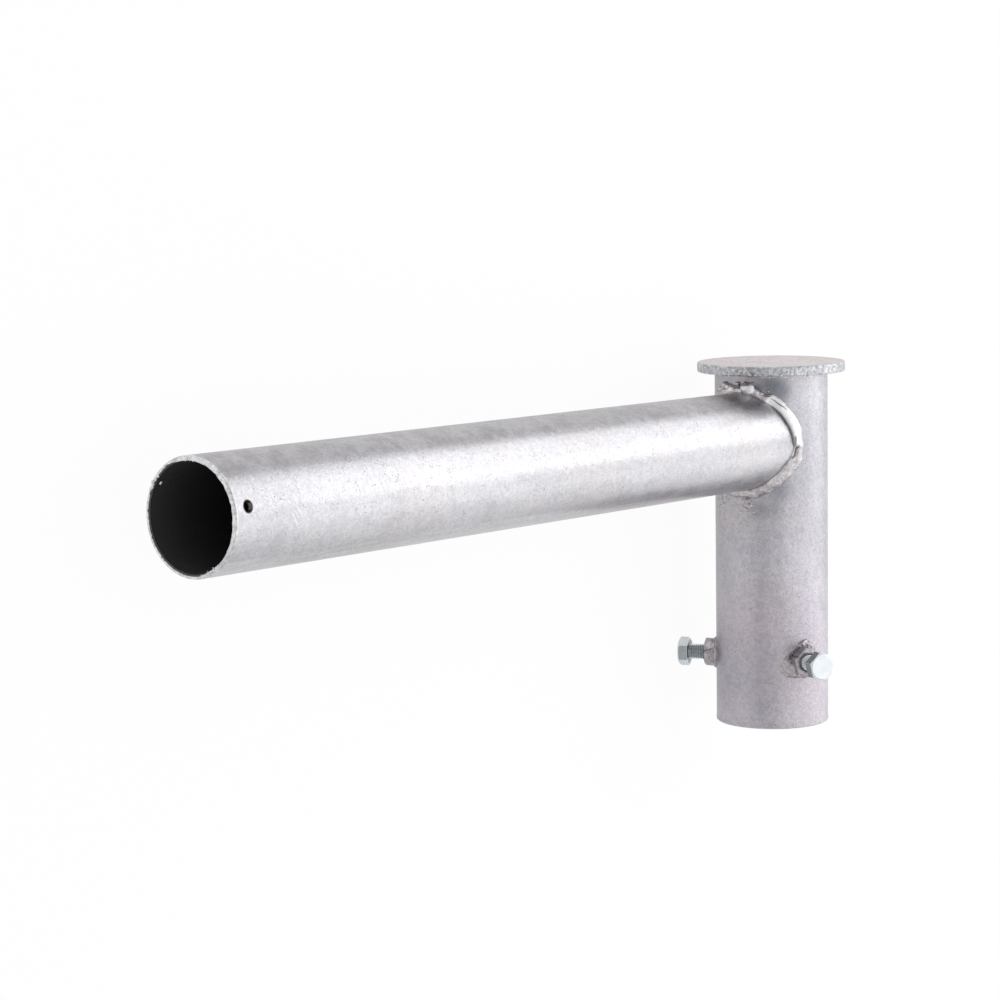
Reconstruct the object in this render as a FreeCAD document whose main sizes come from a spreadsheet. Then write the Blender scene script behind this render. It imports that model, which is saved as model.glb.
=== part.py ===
import FreeCAD, Part
import math
import os

import Sketcher
from FreeCAD import Placement, Rotation, Vector

# Pole-top bracket arm for a luminaire, hot-dip galvanised steel, millimetres.
# A short sleeve slips over the top of a round pole and is closed by a round cap plate.
# One straight arm tube, coped to the sleeve and welded on, reaches out to the luminaire.
# Two hexagon-head set screws in welded nuts clamp the sleeve to the pole.
#
# The bracket lies on its side, as it does when nothing holds it.
# Its frame: origin at the centre of the sleeve's mouth, Y along the sleeve to the cap,
# -X along the arm (before its small rise towards the cap), Z up.

# Driving dimensions: (name, value, what it is). Angles are in degrees.
SIZES = (
    ("sleeve_outer", 70.0, "outer diameter of the pole sleeve"),
    ("sleeve_wall", 3.0, "wall of the pole sleeve"),
    ("sleeve_length", 220.0, "mouth to cap plate"),
    ("sleeve_edge", 0.5, "broken edge of the mouth"),
    ("cap_outer", 92.0, "diameter of the cap plate"),
    ("cap_thickness", 6.0, "thickness of the cap plate"),
    ("cap_edge", 0.7, "broken edges of the cap plate"),
    ("cap_weld_leg", 2.0, "leg of the fillet weld under the cap plate"),
    ("arm_outer", 60.3, "outer diameter of the arm tube"),
    ("arm_wall", 2.6, "wall of the arm tube"),
    ("arm_reach", 520.0, "sleeve axis to open end, along the arm"),
    ("arm_height", 178.3, "mouth of the sleeve to where the arm axis meets its axis"),
    ("arm_rise", 1.06, "lift of the arm towards the cap end"),
    ("arm_edge", 0.5, "broken edge of the open end"),
    ("arm_weld_leg", 4.2, "leg of the bead round the coped joint"),
    ("arm_weld_throat", 3.6, "joint's edge to the bead's crown"),
    ("arm_weld_dip", 0.6, "how far the untrimmed bead reaches under both tubes' surfaces"),
    ("cable_way", 36.0, "hole through the sleeve wall into the arm"),
    ("end_hole", 6.0, "luminaire fixing hole near the open end"),
    ("end_hole_inset", 8.5, "open end to the fixing hole"),
    ("end_hole_angle", 12.6, "the fixing hole's turn from the upper side towards the cap"),
    ("thread_outer", 10.0, "nominal thread diameter"),
    ("screw_length", 20.0, "set screw under its head"),
    ("screw_point", 1.2, "chamfer of the screw's point"),
    ("head_flats", 16.0, "head across flats"),
    ("head_thickness", 6.4, "head thickness"),
    ("nut_flats", 17.0, "nut across flats"),
    ("nut_thickness", 8.0, "nut thickness"),
    ("nut_hole", 11.0, "hole in the sleeve under each nut"),
    ("nut_weld_radius", 12.5, "outer radius of the weld round a nut"),
    ("nut_weld_rise", 4.5, "height of that weld on the nut's flats"),
)

# The two screws: angle round the sleeve, distance from the mouth, head's outer face to the
# sleeve axis, and how far the head and the nut are turned from a corner along the sleeve.
SCREWS = (
    (1, {"angle": 111.0, "height": 41.0, "out": 59.5, "head_turn": 0.0, "nut_turn": 44.0}),
    (2, {"angle": 244.5, "height": 42.0, "out": 58.3, "head_turn": 14.0, "nut_turn": 12.0}),
)

CHAMFER_CIRCLE = 0.95   # chamfer circle of a hexagon, as a share of its width across flats
CHAMFER_SLOPE = math.tan(math.radians(30.0))
BEAD_SECTIONS = 24      # outlines that the bead round the arm is lofted through
BEAD_FLATS = 4          # flats that stand for the bead's rounded face, toe to toe
SMALL_TURN = 0.0001     # step, in radians, for the direction of the joint's edge

doc = FreeCAD.newDocument("pole_top_bracket_arm")


def make_sheet():
    """Put the driving dimensions in a spreadsheet and return their values by name."""
    sheet = doc.addObject("Spreadsheet::Sheet", "sizes")
    rows = list(SIZES)
    for number, screw in SCREWS:
        for name, value in screw.items():
            rows.append(("screw_%d_%s" % (number, name), value, "screw %d %s" % (number, name)))
    values = {}
    for row, (name, value, note) in enumerate(rows, start=1):
        sheet.set("A%d" % row, note)
        sheet.set("B%d" % row, str(value))
        sheet.setAlias("B%d" % row, name)
        values[name] = value
    doc.recompute()
    return values


def make_body(label):
    """A body for one sub-part."""
    body = doc.addObject("PartDesign::Body", label)
    body.Label = label
    return body


def make_sketch(body, name, plane):
    """An empty sketch on one of the body's own origin planes."""
    sketch = body.newObject("Sketcher::SketchObject", name)
    features = body.Origin.OriginFeatures
    support = [feature for feature in features if feature.Role == plane][0]
    sketch.AttachmentSupport = (support, "")
    sketch.MapMode = "FlatFace"
    return sketch


def turn_sketch(sketch, axis, angle):
    """Turn an attached sketch about one of its own axes by an expression in degrees."""
    sketch.AttachmentOffset = Placement(Vector(), Rotation(axis, 1.0))
    sketch.setExpression(".AttachmentOffset.Rotation.Angle", angle)


def draw_circle(sketch, name, diameter, across="0", along="0"):
    """A circle whose diameter and centre are bound to expressions."""
    circle = Part.Circle(Vector(), Vector(0, 0, 1), 5.0)
    index = sketch.addGeometry(circle, False)
    for constraint, expression in (("DistanceX", across), ("DistanceY", along)):
        if expression == "0":
            continue
        number = sketch.addConstraint(Sketcher.Constraint(constraint, -1, 1, index, 3, 10.0))
        sketch.renameConstraint(number, "%s_%s" % (name, constraint))
        sketch.setExpression("Constraints.%s_%s" % (name, constraint), expression)
    if across == "0" and along == "0":
        sketch.addConstraint(Sketcher.Constraint("Coincident", index, 3, -1, 1))
    elif across == "0":
        sketch.addConstraint(Sketcher.Constraint("PointOnObject", index, 3, -2))
    elif along == "0":
        sketch.addConstraint(Sketcher.Constraint("PointOnObject", index, 3, -1))
    number = sketch.addConstraint(Sketcher.Constraint("Diameter", index, 10.0))
    sketch.renameConstraint(number, name)
    sketch.setExpression("Constraints." + name, diameter)


def draw_outline(sketch, corners):
    """A closed outline of straight lines; each corner is a pair of expressions."""
    count = len(corners)
    for step in range(count):
        start = math.radians(360.0 * step / count)
        end = math.radians(360.0 * (step + 1) / count)
        line = Part.LineSegment(Vector(9 * math.cos(start), 9 * math.sin(start), 0),
                                Vector(9 * math.cos(end), 9 * math.sin(end), 0))
        sketch.addGeometry(line, False)
    for step in range(count):
        sketch.addConstraint(Sketcher.Constraint("Coincident", step, 2, (step + 1) % count, 1))
    for step, corner in enumerate(corners):
        for constraint, expression in zip(("DistanceX", "DistanceY"), corner):
            number = sketch.addConstraint(Sketcher.Constraint(constraint, -1, 1, step, 1, 1.0))
            name = "corner_%d_%s" % (step, constraint)
            sketch.renameConstraint(number, name)
            sketch.setExpression("Constraints." + name, expression)


def draw_hexagon(sketch, flats, turn):
    """A hexagon about the origin; with no turn one corner points along the sketch's Y."""
    corners = []
    for step in range(6):
        heading = "(%d + %s) * 1 deg" % (60 * step + 90, turn)
        across = "%s / 2 / cos(30 deg) * cos(%s)" % (flats, heading)
        along = "%s / 2 / cos(30 deg) * sin(%s)" % (flats, heading)
        corners.append((across, along))
    draw_outline(sketch, corners)


def add_pad(body, name, sketch, length, reverse=False):
    """Pad a sketch by an expression."""
    pad = body.newObject("PartDesign::Pad", name)
    pad.Profile = sketch
    pad.setExpression("Length", length)
    pad.Reversed = reverse
    sketch.Visibility = False
    return pad


def add_pocket(body, name, sketch, length, reverse=False, both_ways=False):
    """Pocket a sketch by an expression, and make sure that it takes metal away."""
    doc.recompute()
    before = body.Shape.Volume
    pocket = body.newObject("PartDesign::Pocket", name)
    pocket.Profile = sketch
    pocket.setExpression("Length", length)
    pocket.Reversed = reverse
    pocket.Midplane = both_ways
    doc.recompute()
    if body.Shape.Volume > before - 1.0:
        raise RuntimeError(name + " cuts nothing")


def add_groove(body, name, sketch):
    """Turn a sketch about its own vertical axis to cut a groove, and check that it cuts."""
    doc.recompute()
    before = body.Shape.Volume
    groove = body.newObject("PartDesign::Groove", name)
    groove.Profile = sketch
    groove.ReferenceAxis = (sketch, ["V_Axis"])
    groove.Angle = 360.0
    doc.recompute()
    if body.Shape.Volume > before - 1.0:
        raise RuntimeError(name + " cuts nothing")


def chamfer_edges(body, name, base, width, wanted):
    """Chamfer the edges of the base feature that the test picks out."""
    doc.recompute()
    names = []
    for number, edge in enumerate(base.Shape.Edges, start=1):
        if wanted(edge):
            names.append("Edge%d" % number)
    if not names:
        raise RuntimeError(name + " finds no edge")
    chamfer = body.newObject("PartDesign::Chamfer", name)
    chamfer.Base = (base, names)
    chamfer.setExpression("Size", width)


def edge_lies_at(edge, axis, level):
    """True for an edge whose every point has the given coordinate on the given axis."""
    low = getattr(edge.BoundBox, axis + "Min")
    high = getattr(edge.BoundBox, axis + "Max")
    return abs(low - level) < 0.01 and abs(high - level) < 0.01


def stand_on_sleeve(thing, number):
    """Place a piece modelled along +Z from the sleeve axis outwards at a screw's angle."""
    thing.Placement = Placement(Vector(), Rotation(Vector(0, 1, 0), 1.0))
    thing.setExpression(".Placement.Base.y", "sizes.screw_%d_height" % number)
    thing.setExpression(".Placement.Rotation.Angle", "90 + sizes.screw_%d_angle" % number)


def lie_along_arm(thing):
    """Place a piece modelled with the arm axis along -X where the arm lies."""
    thing.Placement = Placement(Vector(), Rotation(Vector(0, 0, 1), -1.0))
    thing.setExpression(".Placement.Base.y", "sizes.arm_height")
    thing.setExpression(".Placement.Rotation.Angle", "0 - sizes.arm_rise")


def make_pole_sleeve():
    """The sleeve: a tube with a cable way into the arm and a hole under each nut."""
    body = make_body("pole_sleeve")
    ring = make_sketch(body, "sleeve_ring", "XZ_Plane")
    draw_circle(ring, "outer", "sizes.sleeve_outer")
    draw_circle(ring, "inner", "sizes.sleeve_outer - 2 * sizes.sleeve_wall")
    tube = add_pad(body, "sleeve_tube", ring, "sizes.sleeve_length", reverse=True)
    chamfer_edges(body, "sleeve_mouth", tube, "sizes.sleeve_edge",
                  lambda edge: edge_lies_at(edge, "Y", 0.0))
    way = make_sketch(body, "cable_way_circle", "YZ_Plane")
    draw_circle(way, "cable_way", "sizes.cable_way", across="sizes.arm_height")
    add_pocket(body, "cable_way", way, "sizes.sleeve_outer")
    for number, _ in SCREWS:
        hole = make_sketch(body, "nut_hole_%d_circle" % number, "XY_Plane")
        draw_circle(hole, "nut_hole", "sizes.nut_hole", along="sizes.screw_%d_height" % number)
        turn_sketch(hole, Vector(0, 1, 0), "90 + sizes.screw_%d_angle" % number)
        add_pocket(body, "nut_hole_%d" % number, hole, "sizes.sleeve_outer", reverse=True)
    return body


def make_cap_plate():
    """The round plate that closes the top of the sleeve."""
    body = make_body("cap_plate")
    disc = make_sketch(body, "cap_circle", "XZ_Plane")
    draw_circle(disc, "outer", "sizes.cap_outer")
    plate = add_pad(body, "cap_disc", disc, "sizes.cap_thickness", reverse=True)
    chamfer_edges(body, "cap_edges", plate, "sizes.cap_edge",
                  lambda edge: isinstance(edge.Curve, Part.Circle))
    body.setExpression(".Placement.Base.y", "sizes.sleeve_length")
    return body


def make_cap_weld():
    """The fillet weld in the corner between the sleeve and the cap plate."""
    body = make_body("cap_weld")
    profile = make_sketch(body, "cap_weld_corner", "XY_Plane")
    wall = "sizes.sleeve_outer / 2"
    leg = "sizes.cap_weld_leg"
    draw_outline(profile, ((wall, "sizes.sleeve_length"),
                           (wall, "sizes.sleeve_length - " + leg),
                           (wall + " + " + leg, "sizes.sleeve_length")))
    ring = body.newObject("PartDesign::Revolution", "cap_weld_ring")
    ring.Profile = profile
    ring.ReferenceAxis = (profile, ["V_Axis"])
    ring.Angle = 360.0
    return body


def make_arm_tube(size):
    """The arm: a tube along its own -X, coped round the sleeve, with a fixing hole."""
    body = make_body("arm_tube")
    ring = make_sketch(body, "arm_ring", "YZ_Plane")
    draw_circle(ring, "outer", "sizes.arm_outer")
    draw_circle(ring, "inner", "sizes.arm_outer - 2 * sizes.arm_wall")
    tube = add_pad(body, "arm_pipe", ring, "sizes.arm_reach", reverse=True)
    chamfer_edges(body, "arm_rim", tube, "sizes.arm_edge",
                  lambda edge: edge_lies_at(edge, "X", -size["arm_reach"]))
    # The fish mouth is cut by the sleeve's own outer circle, along the sleeve's axis.
    mouth = make_sketch(body, "fish_mouth_circle", "XZ_Plane")
    draw_circle(mouth, "sleeve", "sizes.sleeve_outer")
    turn_sketch(mouth, Vector(0, 1, 0), "sizes.arm_rise")
    add_pocket(body, "fish_mouth", mouth, "2 * sizes.sleeve_length", both_ways=True)
    hole = make_sketch(body, "end_hole_circle", "XY_Plane")
    draw_circle(hole, "end_hole", "sizes.end_hole",
                across="sizes.end_hole_inset - sizes.arm_reach")
    turn_sketch(hole, Vector(1, 0, 0), "0 - sizes.end_hole_angle")
    add_pocket(body, "end_hole", hole, "sizes.arm_outer", reverse=True)
    lie_along_arm(body)
    return body


def sleeve_cylinder(name, radius, size):
    """A cylinder on the sleeve's axis, in the arm's own frame."""
    rise = Rotation(Vector(0, 0, 1), size["arm_rise"])
    start = rise.multVec(Vector(0, -size["sleeve_length"] / 2, 0))
    cylinder = doc.addObject("Part::Cylinder", name)
    cylinder.setExpression("Radius", radius)
    cylinder.setExpression("Height", "sizes.sleeve_length")
    cylinder.Placement = Placement(start, rise * Rotation(Vector(1, 0, 0), -90))
    return cylinder


def arm_cylinder(name, radius):
    """A cylinder on the arm's axis, in the arm's own frame, starting on the sleeve's axis."""
    cylinder = doc.addObject("Part::Cylinder", name)
    cylinder.setExpression("Radius", radius)
    cylinder.setExpression("Height", "2 * sizes.sleeve_outer")
    cylinder.Placement = Placement(Vector(), Rotation(Vector(0, 1, 0), -90))
    return cylinder


def saddle_point(size, angle):
    """A point of the joint's edge, at an angle round the arm from its upper side."""
    rise = math.radians(size["arm_rise"])
    height = size["arm_outer"] / 2 * math.sin(angle)
    side = size["arm_outer"] / 2 * math.cos(angle)
    depth = math.sqrt((size["sleeve_outer"] / 2) ** 2 - side ** 2)
    return Vector(-(depth + height * math.sin(rise)) / math.cos(rise), height, side)


def bead_section(size, angle):
    """The bead's outline across the joint: flats on an arc from toe to toe, closed at the root.

    Each toe lies a leg's length along its tube, at right angles to the joint's edge. The
    outline dips under both surfaces, so that the two tubes can trim it to a close fit.
    """
    rise = math.radians(size["arm_rise"])
    sleeve_axis = Vector(-math.sin(rise), math.cos(rise), 0)
    root = saddle_point(size, angle)
    run = saddle_point(size, angle + SMALL_TURN) - saddle_point(size, angle - SMALL_TURN)
    arm_out = Vector(0, math.sin(angle), math.cos(angle))
    sleeve_out = (root - sleeve_axis * root.dot(sleeve_axis)).normalize()
    along_arm = run.cross(arm_out).normalize()
    along_sleeve = sleeve_out.cross(run).normalize()
    outward = (arm_out + sleeve_out).normalize()
    leg = size["arm_weld_leg"]
    arm_toe = root + along_arm * leg - arm_out * size["arm_weld_dip"]
    sleeve_toe = root + along_sleeve * leg - sleeve_out * size["arm_weld_dip"]
    crown = root + outward * size["arm_weld_throat"]
    inside = root - outward * leg / 2
    face = Part.Arc(arm_toe, crown, sleeve_toe).toShape().discretize(BEAD_FLATS + 1)
    return Part.makePolygon(face + [inside, arm_toe])


def make_arm_weld(size):
    """The bead that follows the saddle-shaped joint all the way round the arm."""
    outlines = []
    for step in range(BEAD_SECTIONS):
        outlines.append(bead_section(size, 2 * math.pi * step / BEAD_SECTIONS))
    skin = Part.makeLoft(outlines, False, False, True)
    bead = doc.addObject("Part::Feature", "bead_loft")
    bead.Shape = Part.Solid(skin)
    on_sleeve = doc.addObject("Part::Cut", "bead_on_sleeve")
    on_sleeve.Base = bead
    on_sleeve.Tool = sleeve_cylinder("bead_sleeve_core", "sizes.sleeve_outer / 2", size)
    on_sleeve.Refine = False
    weld = doc.addObject("Part::Cut", "arm_weld")
    weld.Base = on_sleeve
    weld.Tool = arm_cylinder("bead_arm_core", "sizes.arm_outer / 2")
    weld.Refine = False
    lie_along_arm(weld)
    return weld


def chamfer_corners(body, name, flats, face):
    """Turn off a hexagon's corners at its outer face, as on a forged nut or screw head."""
    profile = make_sketch(body, name + "_profile", "XZ_Plane")
    inner = "%s / 2 * %.2f" % (flats, CHAMFER_CIRCLE)
    outer = "%s * 0.65" % flats
    drop = "(%s * 0.65 - %s) * %.5f" % (flats, inner, CHAMFER_SLOPE)
    draw_outline(profile, ((inner, face), (outer, face), (outer, "%s - %s" % (face, drop))))
    add_groove(body, name, profile)


def make_nut(number):
    """A hexagon nut that sits on the sleeve, bored to the thread's outer diameter."""
    body = make_body("clamp_nut_%d" % number)
    profile = make_sketch(body, "nut_%d_hexagon" % number, "XY_Plane")
    profile.setExpression(".AttachmentOffset.Base.z", "sizes.sleeve_outer / 2")
    draw_hexagon(profile, "sizes.nut_flats", "sizes.screw_%d_nut_turn" % number)
    draw_circle(profile, "bore", "sizes.thread_outer")
    add_pad(body, "nut_%d_prism" % number, profile, "sizes.nut_thickness")
    chamfer_corners(body, "nut_%d_corners" % number, "sizes.nut_flats",
                    "sizes.sleeve_outer / 2 + sizes.nut_thickness")
    stand_on_sleeve(body, number)
    return body


def make_screw(number):
    """A hexagon-head set screw: shank with a chamfered point, and a head turned at its top."""
    body = make_body("set_screw_%d" % number)
    under_head = "sizes.screw_%d_out - sizes.head_thickness" % number
    shank_circle = make_sketch(body, "shank_%d_circle" % number, "XY_Plane")
    shank_circle.setExpression(".AttachmentOffset.Base.z", under_head)
    draw_circle(shank_circle, "thread", "sizes.thread_outer")
    shank = add_pad(body, "shank_%d" % number, shank_circle, "sizes.screw_length", reverse=True)
    doc.recompute()
    point = shank.Shape.BoundBox.ZMin
    chamfer_edges(body, "point_%d" % number, shank, "sizes.screw_point",
                  lambda edge: edge_lies_at(edge, "Z", point))
    head = make_sketch(body, "head_%d_hexagon" % number, "XY_Plane")
    head.setExpression(".AttachmentOffset.Base.z", under_head)
    draw_hexagon(head, "sizes.head_flats", "sizes.screw_%d_head_turn" % number)
    add_pad(body, "head_%d" % number, head, "sizes.head_thickness")
    chamfer_corners(body, "head_%d_corners" % number, "sizes.head_flats",
                    "sizes.screw_%d_out" % number)
    stand_on_sleeve(body, number)
    return body


def make_nut_weld(number):
    """The weld round a nut: a sloping collar that seats on the sleeve and the nut's flats."""
    collar = doc.addObject("Part::Cone", "nut_%d_collar" % number)
    collar.setExpression("Radius1", "sizes.nut_weld_radius")
    collar.setExpression("Radius2", "sizes.nut_flats / 2 + 0.5")
    collar.setExpression("Height", "sizes.sleeve_wall + sizes.nut_weld_rise")
    collar.setExpression(".Placement.Base.z", "sizes.sleeve_outer / 2 - sizes.sleeve_wall")
    sleeve_core = doc.addObject("Part::Cylinder", "nut_%d_sleeve_core" % number)
    sleeve_core.setExpression("Radius", "sizes.sleeve_outer / 2")
    sleeve_core.setExpression("Height", "4 * sizes.nut_weld_radius")
    sleeve_core.Placement = Placement(Vector(), Rotation(Vector(1, 0, 0), -90))
    sleeve_core.setExpression(".Placement.Base.y", "0 - 2 * sizes.nut_weld_radius")
    nut_core = doc.addObject("Part::Prism", "nut_%d_core" % number)
    nut_core.Polygon = 6
    nut_core.setExpression("Circumradius", "sizes.nut_flats / 2 / cos(30 deg)")
    nut_core.setExpression("Height", "sizes.sleeve_outer")
    nut_core.Placement = Placement(Vector(), Rotation(Vector(0, 0, 1), 1.0))
    nut_core.setExpression(".Placement.Rotation.Angle", "90 + sizes.screw_%d_nut_turn" % number)
    core = doc.addObject("Part::MultiFuse", "nut_%d_weld_core" % number)
    core.Shapes = [sleeve_core, nut_core]
    weld = doc.addObject("Part::Cut", "nut_weld_%d" % number)
    weld.Label = "nut_weld_%d" % number
    weld.Base = collar
    weld.Tool = core
    stand_on_sleeve(weld, number)
    return weld


def write_parts(pieces):
    """Check every object of the document, then write each sub-part to its own file."""
    doc.recompute()
    for thing in doc.Objects:
        if "Invalid" in thing.State or "Error" in thing.State:
            raise RuntimeError(thing.Name + " is " + ", ".join(thing.State))
    for piece in pieces:
        shape = piece.Shape
        if shape.isNull() or not shape.isValid() or len(shape.Solids) != 1:
            raise RuntimeError(piece.Label + " is not one valid solid")
    os.makedirs("parts", exist_ok=True)
    for piece in pieces:
        piece.Shape.exportStep("parts/%s.step" % piece.Label)
        print("%-14s %9.1f mm3" % (piece.Label, piece.Shape.Volume))


size = make_sheet()
pieces = [make_pole_sleeve(), make_cap_plate(), make_cap_weld(), make_arm_tube(size),
          make_arm_weld(size)]
for number, _ in SCREWS:
    pieces.append(make_nut(number))
    pieces.append(make_nut_weld(number))
    pieces.append(make_screw(number))
write_parts(pieces)
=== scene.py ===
from math import atan, atan2, cos, degrees, exp, hypot, pi, radians, sin, sqrt, tan

import bmesh
import bpy
import numpy as np
from mathutils import Matrix, Vector, noise


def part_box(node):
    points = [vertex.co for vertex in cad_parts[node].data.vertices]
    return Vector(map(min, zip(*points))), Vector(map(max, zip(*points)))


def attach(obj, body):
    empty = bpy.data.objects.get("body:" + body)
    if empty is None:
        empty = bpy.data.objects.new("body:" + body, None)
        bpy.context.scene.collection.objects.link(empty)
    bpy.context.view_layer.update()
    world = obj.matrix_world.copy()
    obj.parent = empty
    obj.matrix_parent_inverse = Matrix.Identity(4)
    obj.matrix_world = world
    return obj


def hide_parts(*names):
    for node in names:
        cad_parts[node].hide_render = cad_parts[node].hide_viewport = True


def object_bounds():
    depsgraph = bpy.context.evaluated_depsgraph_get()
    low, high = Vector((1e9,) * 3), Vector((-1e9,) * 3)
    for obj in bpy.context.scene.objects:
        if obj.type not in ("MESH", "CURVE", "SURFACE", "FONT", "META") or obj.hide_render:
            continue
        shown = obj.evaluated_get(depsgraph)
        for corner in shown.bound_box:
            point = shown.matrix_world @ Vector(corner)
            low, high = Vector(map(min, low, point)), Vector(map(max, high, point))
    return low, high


# Pole-top bracket arm: a galvanised sleeve with a cap plate, one arm tube welded to it, and
# two zinc-plated set screws in welded nuts. Everything is in metres in the row frame, where
# Y runs along the sleeve to the cap, -X along the arm, and Z is up from the floor.

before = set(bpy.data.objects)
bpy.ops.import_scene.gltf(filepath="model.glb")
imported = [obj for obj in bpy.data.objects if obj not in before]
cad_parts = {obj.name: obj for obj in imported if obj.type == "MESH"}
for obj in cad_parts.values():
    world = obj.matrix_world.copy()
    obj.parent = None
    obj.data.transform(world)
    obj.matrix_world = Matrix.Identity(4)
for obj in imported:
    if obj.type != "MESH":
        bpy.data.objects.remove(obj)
CAD_LO, CAD_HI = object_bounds()

MM = 0.001

# Driving dimensions, the same values as the solids'.
SLEEVE_R = 35.0 * MM
SLEEVE_BORE = 32.0 * MM
SLEEVE_LENGTH = 220.0 * MM
CAP_R = 46.0 * MM
CAP_THICK = 6.0 * MM
CAP_EDGE = 0.8 * MM
CAP_WELD_LEG = 2.0 * MM
ARM_R = 30.15 * MM
ARM_BORE = 27.55 * MM
ARM_REACH = 520.0 * MM
ARM_HEIGHT = 178.3 * MM
ARM_RISE = radians(1.06)
END_HOLE_INSET = 8.5 * MM
END_HOLE_ANGLE = 12.6
THREAD_R = 5.0 * MM
THREAD_PITCH = 1.5 * MM
THREAD_DEPTH = 0.85 * MM
SCREW_LENGTH = 20.0 * MM
SCREW_POINT = 1.2 * MM
HEAD_FLATS = 16.0 * MM
HEAD_THICK = 6.4 * MM
NUT_FLATS = 17.0 * MM
NUT_THICK = 8.0 * MM
HEAD_CORNER = 0.5 * MM
NUT_CORNER = 1.8 * MM
CHAMFER = 0.94    # circle in which a chamfer starts, as a share of the flats
SIXTH = radians(30.0)    # half of one side of a hexagon

# The two screws: angle round the sleeve, distance from the mouth, the head's outer face to
# the sleeve's axis, how far the head and the nut are turned from a corner along Y, and how
# much painted shade darkens the head's sides: amount, direction, half width in degrees.
SCREWS = {
    1: {"angle": 111.0, "height": 41.0 * MM, "out": 59.5 * MM, "head": 0.0, "nut": 44.0,
        "shade": (0.20, 0.0, 30.0)},
    2: {"angle": 244.5, "height": 42.0 * MM, "out": 58.3 * MM, "head": 14.0, "nut": 12.0,
        "shade": (0.45, 180.0, 400.0)},
}

ARM_AXIS = Vector((-cos(ARM_RISE), sin(ARM_RISE), 0.0))
ARM_UP = Vector((sin(ARM_RISE), cos(ARM_RISE), 0.0))
ARM_START = Vector((0.0, ARM_HEIGHT, 0.0))
ROW_UP = Vector((0.0, 0.0, 1.0))
SLEEVE_START = Vector((0.0, 0.0, 0.0))
SLEEVE_AXIS = Vector((0.0, 1.0, 0.0))


# ---- places on the tubes

def polar(reach, angle):
    """The two coordinates of a point at a distance, in a direction in degrees."""
    turn = radians(angle)
    return reach * cos(turn), reach * sin(turn)


def sleeve_direction(angle):
    """Straight out of the sleeve's axis, at an angle round it in degrees."""
    aside, down = polar(1.0, angle)
    return Vector((aside, 0.0, -down))


def on_sleeve(angle, height, out=0.0):
    """A point on the sleeve's outside: angle round it in degrees, distance from its mouth."""
    aside, down = polar(SLEEVE_R + out, angle)
    return Vector((aside, height, -down))


def on_arm(along, angle, out=0.0):
    """A point on the arm's outside; angle 0 is its upper side, 90 its side towards the cap."""
    up, across = polar(1.0, angle)
    return ARM_START + ARM_AXIS * along + (ROW_UP * up + ARM_UP * across) * (ARM_R + out)


def joint_point(angle):
    """Where the arm's outside meets the sleeve's outside, at an angle round the arm."""
    side, across = polar(ARM_R, angle)
    depth = sqrt(SLEEVE_R ** 2 - side ** 2)
    return on_arm((depth + across * sin(ARM_RISE)) / cos(ARM_RISE), angle)


def arm_normal(point):
    """The direction straight out of the arm's axis through a point."""
    offset = point - ARM_START
    return (offset - ARM_AXIS * offset.dot(ARM_AXIS)).normalized()


def sleeve_normal(point):
    """The direction straight out of the sleeve's axis through a point."""
    return Vector((point.x, 0.0, point.z)).normalized()


def screw_frame(number):
    """A screw's own frame: Z out along the screw, Y along the sleeve, origin on its axis."""
    out = sleeve_direction(SCREWS[number]["angle"])
    turned = Matrix((SLEEVE_AXIS.cross(out), SLEEVE_AXIS, out)).transposed().to_4x4()
    return Matrix.Translation(SLEEVE_AXIS * SCREWS[number]["height"]) @ turned


# ---- small helpers

def bumps(point, per_metre, seed):
    """Smooth noise from -1 to 1 with the given number of bumps in a metre."""
    shift = Vector((seed * 7.31, seed * 3.17, seed * 5.77))
    return noise.noise(Vector(point) * per_metre + shift)


def clip(value, high=1.0):
    return min(max(value, 0.0), high)


def window(value, start, end, soft):
    """1 between start and end, fading to 0 over the soft distance at either side."""
    rise = clip((value - start) / soft + 0.5)
    fall = clip((end - value) / soft + 0.5)
    return (rise * rise * (3 - 2 * rise)) * (fall * fall * (3 - 2 * fall))


def hump(value, middle, width):
    """A smooth hump of height 1 round a middle value."""
    return exp(-((value - middle) / width) ** 2)


def turn_hump(turn, middle, width):
    """The same round a direction, all in degrees."""
    return hump(wrapped(turn, middle), 0.0, width)


def wrapped(turn, middle):
    """How far a direction is from another, from -180 to 180 degrees."""
    return (turn - middle + 180.0) % 360.0 - 180.0


def add_object(name, data):
    """An object of the scene from its mesh, lamp or camera data."""
    thing = bpy.data.objects.new(name, data)
    bpy.context.scene.collection.objects.link(thing)
    return thing


def grid_piece(name, rows, wrap_rows, merge=True):
    """A piece from rows of points, each row closed on itself; rows may close on each other."""
    points = np.array([[tuple(p) for p in row] for row in rows])
    count, across = points.shape[:2]
    faces = []
    for i in range(count if wrap_rows else count - 1):
        a, b = i * across, (i + 1) % count * across
        for j in range(across):
            k = (j + 1) % across
            faces.append((a + j, a + k, b + k, b + j))
    mesh = bpy.data.meshes.new(name)
    mesh.from_pydata(points.reshape(-1, 3).tolist(), [], faces)
    work = bmesh.new()
    work.from_mesh(mesh)
    if merge:
        bmesh.ops.remove_doubles(work, verts=work.verts, dist=0.002 * MM)
    bmesh.ops.recalc_face_normals(work, faces=work.faces)
    work.to_mesh(mesh)
    work.free()
    return add_object(name, mesh)


def dress(piece, material, replaced=None, sharp=60.0):
    """Shade a piece, give it its material, say what it rides on, and hide the CAD part it stands
    for.
    """
    piece.data.materials.clear()
    piece.data.materials.append(material)
    piece.data.shade_smooth()
    piece.data.set_sharp_from_angle(angle=radians(sharp))
    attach(piece, "root")
    if replaced:
        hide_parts(replaced)


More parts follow.
